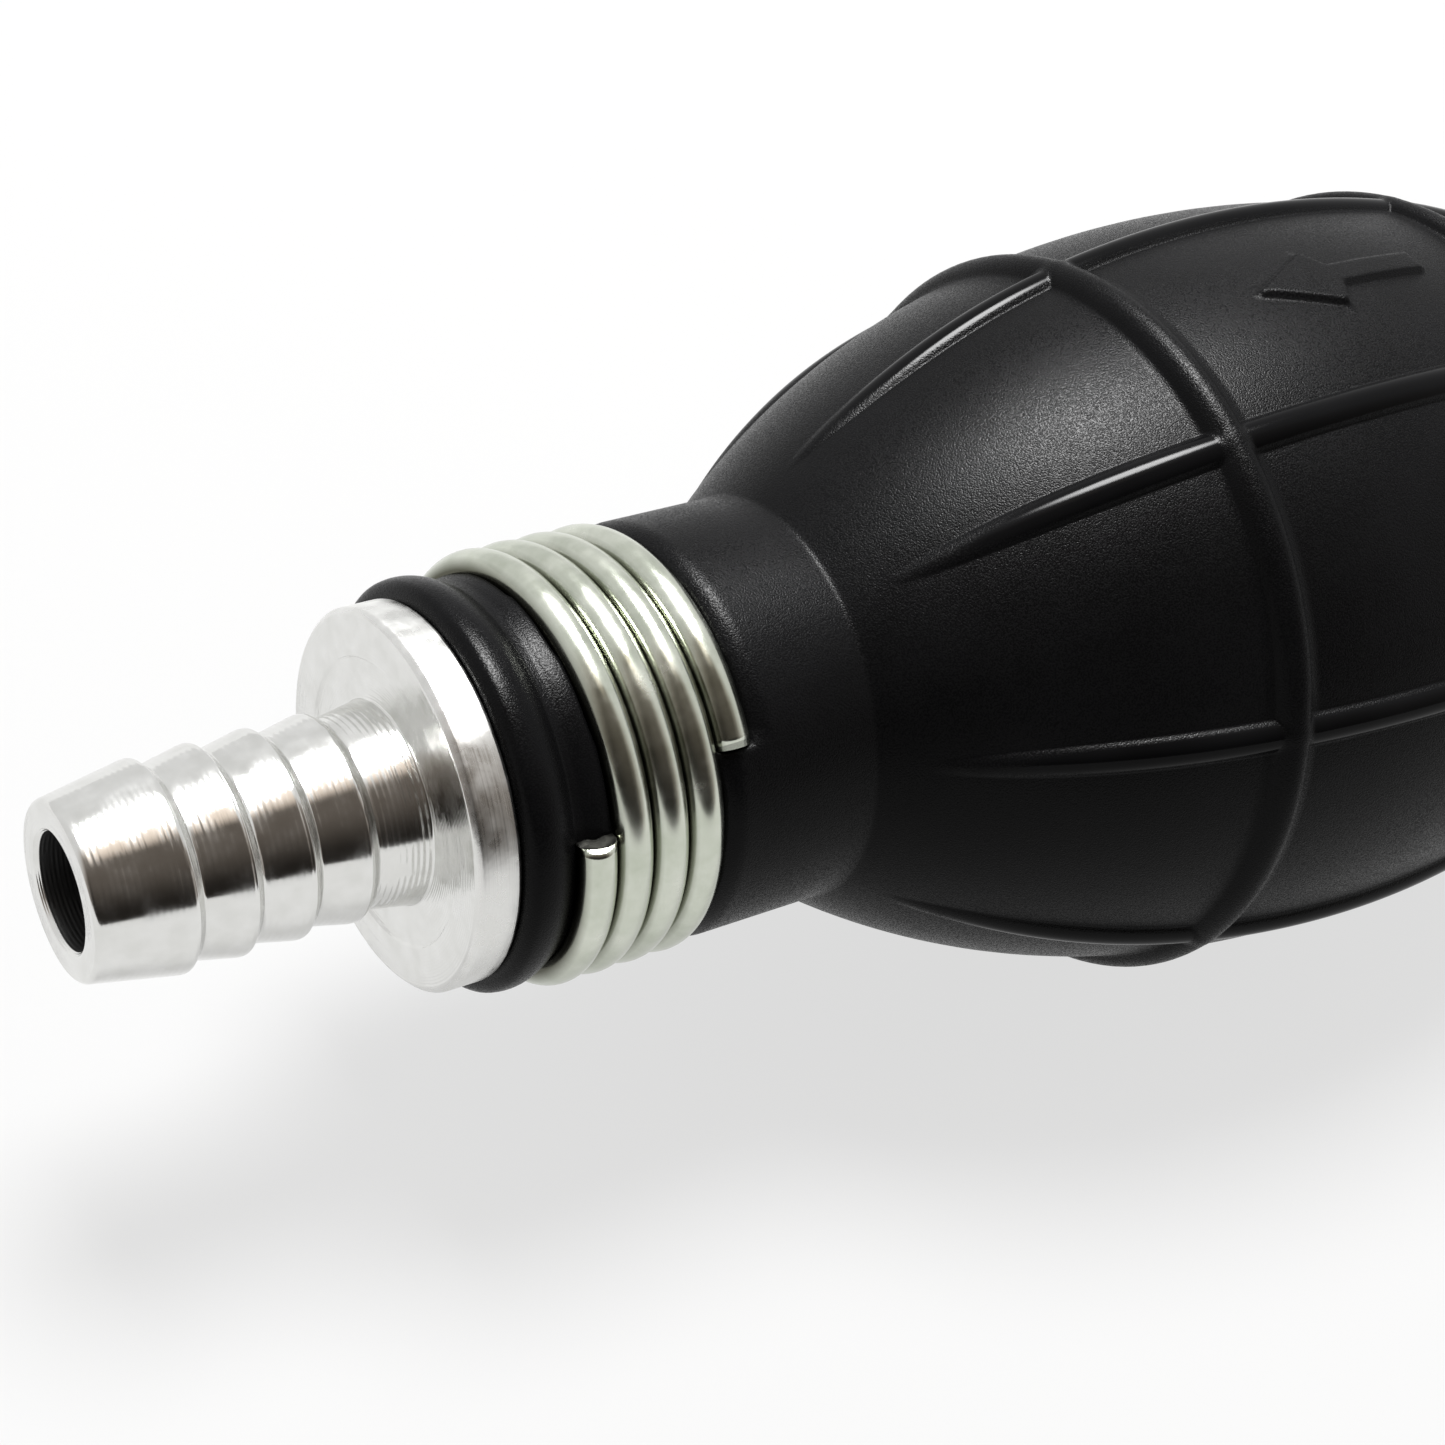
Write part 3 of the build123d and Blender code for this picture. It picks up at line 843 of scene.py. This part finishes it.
def zinc_wire():
    """Zinc-plated wire with a faint green cast, dull patches, and dirt with painted shade between the
    turns.
    """
    shader = Shader("zinc_wire", Metallic=1.0)
    streaks = shader.noise(1.0, detail=2.0, where=shader.turned_place(7000, 4.0))
    patches = shader.noise(420, detail=4.0, roughness=0.6)
    roughness = shader.ramp(patches, 0.3, 0.7, 0.13, 0.28)
    normal = shader.bump(patches, 0.006, 0.3, under=shader.bump(streaks, 0.008, 0.4))
    plate = shader.blend(shader.ramp(patches, 0.3, 0.7), (0.55, 0.58, 0.50, 1), (0.68, 0.70, 0.63, 1))
    # Painted shade with some dirt: the plate's colour darkens to near black towards where the turns
    # touch
    clean_and_lit_from, dirt_and_shade_below = COIL_R + WIRE_R * 0.75, COIL_R + WIRE_R * 0.1
    between = shader.ramp(shader.from_axis()[-1], clean_and_lit_from * MM, dirt_and_shade_below * MM)
    colour = shader.blend(between, plate, (0.10, 0.10, 0.07, 1))
    return shader.use(Base_Color=colour, Roughness=roughness, Normal=normal)


def sheared_steel():
    """Dull grey steel of a sheared wire end."""
    shader = Shader("sheared_steel", Metallic=1.0)
    marks = shader.noise(3000, detail=2.0)
    colour = shader.blend(marks, (0.015, 0.015, 0.014, 1), (0.05, 0.05, 0.045, 1))
    roughness = shader.ramp(marks, 0.3, 0.7, 0.5, 0.65)
    return shader.use(Base_Color=colour, Roughness=roughness, Normal=shader.bump(marks, 0.02, 0.5))


def spring_steel():
    """Bright spring wire and punched clips."""
    shader = Shader("spring_steel", Metallic=1.0)
    patches = shader.noise(900, detail=3.0)
    normal = shader.bump(shader.noise(4000, detail=2.0), 0.006, 0.4)
    colour = shader.blend(patches, (0.5, 0.5, 0.49, 1), (0.66, 0.66, 0.65, 1))
    roughness = shader.ramp(patches, 0.3, 0.7, 0.2, 0.36)
    return shader.use(Base_Color=colour, Roughness=roughness, Normal=normal)


def turned_brass():
    """Turned brass valve rings."""
    shader = Shader("turned_brass", Metallic=1.0)
    marks = shader.noise(1.0, detail=3.0, where=shader.turned_place(7000, 1.2))
    normal = shader.bump(marks, 0.01, 0.5)
    colour = shader.blend(marks, (0.72, 0.5, 0.2, 1), (0.86, 0.66, 0.33, 1))
    roughness = shader.ramp(marks, 0.3, 0.7, 0.2, 0.34)
    return shader.use(Base_Color=colour, Roughness=roughness, Normal=normal)


def acetal():
    """Natural white moulded acetal."""
    shader = Shader("acetal")
    cloud = shader.noise(500, detail=2.0)
    normal = shader.bump(shader.noise(3500, detail=2.0), 0.008, 0.4)
    colour = shader.blend(cloud, (0.70, 0.69, 0.65, 1), (0.78, 0.77, 0.74, 1))
    roughness = shader.ramp(cloud, 0.3, 0.7, 0.34, 0.46)
    return shader.use(Base_Color=colour, Roughness=roughness, Normal=normal)


def seal_rubber():
    """Matte black nitrile of the seals."""
    shader = Shader("seal_rubber")
    cloud = shader.noise(800, detail=2.0)
    normal = shader.bump(shader.noise(6000, detail=2.0), 0.01, 0.5)
    colour = shader.blend(cloud, (0.012, 0.012, 0.012, 1), (0.022, 0.022, 0.022, 1))
    roughness = shader.ramp(cloud, 0.3, 0.7, 0.45, 0.6)
    return shader.use(Base_Color=colour, Roughness=roughness, Normal=normal)


# Studio -------------------------------------------------------------------------------------------

FLOOR_HALF = 1500.0


def floor():
    """Plain white floor under the pump."""
    shader = Shader("studio_floor", Roughness=0.9, Emission_Color=gray(1.0), Emission_Strength=0.74)
    cloud = shader.noise(6, detail=2.0)
    material = shader.use(Base_Color=shader.blend(cloud, gray(0.05), gray(0.06)))
    signs = ((-1, -1), (1, -1), (1, 1), (-1, 1))
    corners = [(FLOOR_HALF * x, FLOOR_HALF * y, FLOOR_Z) for x, y in signs]
    new_object("studio_floor", corners, [(0, 1, 2, 3)], material)


# The studio's light by direction: azimuth from +X towards +Y, elevation above the floor, both in
# degrees, and brightness with white paper as 1
ROOM_AZIMUTH = 70.0
ROOM_CORE = 30.0
ROOM_EDGE = 90.0
ROOM_TINT = (1.0, 0.87, 0.76, 1.0)
ROOM_LOW = 0.03
ROOM_HIGH = 0.19
ROOM_RISE = (8.0, 72.0)
BACKDROP = 0.88
CEILING = 1.15
CEILING_RISE = (68.0, 88.0)
SOFT_BOX_AZIMUTH = -115.0
SOFT_BOX_ELEVATION = 73.0
SOFT_BOX_CORE = 7.0
SOFT_BOX_EDGE = 17.0
SOFT_BOX = 55.0


def world():
    """White backdrop, a ceiling, a soft box high at the back, and a dim room seen in reflections."""
    made = bpy.data.worlds.new("studio")
    made.use_nodes = True
    nodes = Nodes(made.node_tree)
    background = nodes.tree.nodes["Background"]
    split = nodes.node("SeparateXYZ")
    nodes.feed(split.inputs[0], nodes.node("TexCoord").outputs["Generated"])
    x, y, z = split.outputs

    def towards(azimuth, elevation):
        """Cosine of the angle between a ray and this direction."""
        side = cos(radians(elevation))
        parts = (cos(radians(azimuth)) * side, sin(radians(azimuth)) * side, sin(radians(elevation)))
        terms = [nodes.math("MULTIPLY", axis, part) for axis, part in zip((x, y, z), parts)]
        return nodes.math("ADD", nodes.math("ADD", terms[0], terms[1]), terms[2])

    def sines(low, high):
        """Heights on the unit sphere of two elevations."""
        return sin(radians(low)), sin(radians(high))

    level = nodes.math("SQRT", nodes.math("SUBTRACT", 1.0, nodes.math("MULTIPLY", z, z)))
    facing_room = nodes.math("DIVIDE", towards(ROOM_AZIMUTH, 0), level)
    room_share = nodes.ramp(facing_room, cos(radians(ROOM_EDGE)), cos(radians(ROOM_CORE)), smooth=True)
    overhead = nodes.ramp(z, *sines(*CEILING_RISE), smooth=True)
    room = nodes.ramp(z, *sines(*ROOM_RISE), ROOM_LOW, ROOM_HIGH, smooth=True)
    difference = nodes.math("SUBTRACT", room, BACKDROP)
    walls = nodes.math("ADD", BACKDROP, nodes.math("MULTIPLY", difference, room_share))
    to_ceiling = nodes.math("MULTIPLY", nodes.math("SUBTRACT", CEILING, walls), overhead)
    box_facing = towards(SOFT_BOX_AZIMUTH, SOFT_BOX_ELEVATION)
    edge, core = cos(radians(SOFT_BOX_EDGE)), cos(radians(SOFT_BOX_CORE))
    box = nodes.ramp(box_facing, edge, core, 0.0, SOFT_BOX, smooth=True)
    strength = nodes.math("ADD", nodes.math("ADD", walls, to_ceiling), box)
    seen = nodes.node("LightPath").outputs["Is Camera Ray"]
    tint = nodes.blend(room_share, gray(1.0), ROOM_TINT)
    nodes.feed(background.inputs["Color"], nodes.blend(seen, tint, gray(1.0)))
    nodes.feed(background.inputs["Strength"], nodes.mix(seen, strength, BACKDROP))
    bpy.context.scene.world = made


CAMERA_PLACE_MM = (121.776, 90.947, 108.217)
CAMERA_TURN = (47.301, -11.522, 148.019)
CAMERA_LENS = 68.78
VIEW_GAMMA = 0.85


def camera():
    """Camera at the photograph's viewing angle."""
    data = bpy.data.cameras.new("camera")
    data.lens = CAMERA_LENS
    data.sensor_width = 36.0
    obj = bpy.data.objects.new("camera", data)
    obj.location = Vector(CAMERA_PLACE_MM) * MM
    obj.rotation_euler = Euler([radians(a) for a in CAMERA_TURN], "XYZ")
    bpy.context.scene.collection.objects.link(obj)
    bpy.context.scene.camera = obj


# The pump -----------------------------------------------------------------------------------------

rubber = bulb_rubber()
aluminium = turned_aluminium()
zinc = zinc_wire()
steel = spring_steel()
sheared = sheared_steel()
brass = turned_brass()
plastic = acetal()
nitrile = seal_rubber()

bulb_skin(rubber)
for pump_end in ("outlet", "inlet"):
    fitting(pump_end, aluminium)
    wire_clamp(pump_end, zinc, sheared)
    valve_spring(pump_end, steel, sheared)

CAD_FINISHES = {
    "outlet_seat_ring": brass,
    "outlet_seat_oring": nitrile,
    "outlet_circlip": steel,
    "outlet_poppet": plastic,
    "outlet_poppet_seal": nitrile,
    "inlet_spring_retainer": brass,
    "inlet_circlip": steel,
    "inlet_poppet": plastic,
    "inlet_poppet_seal": nitrile,
}
for node_name, finish in CAD_FINISHES.items():
    for material_slot in frame["nodes"][node_name].material_slots:
        material_slot.material = finish

floor()
world()
camera()
bpy.context.scene.view_settings.view_transform = "Standard"
bpy.context.scene.view_settings.gamma = VIEW_GAMMA
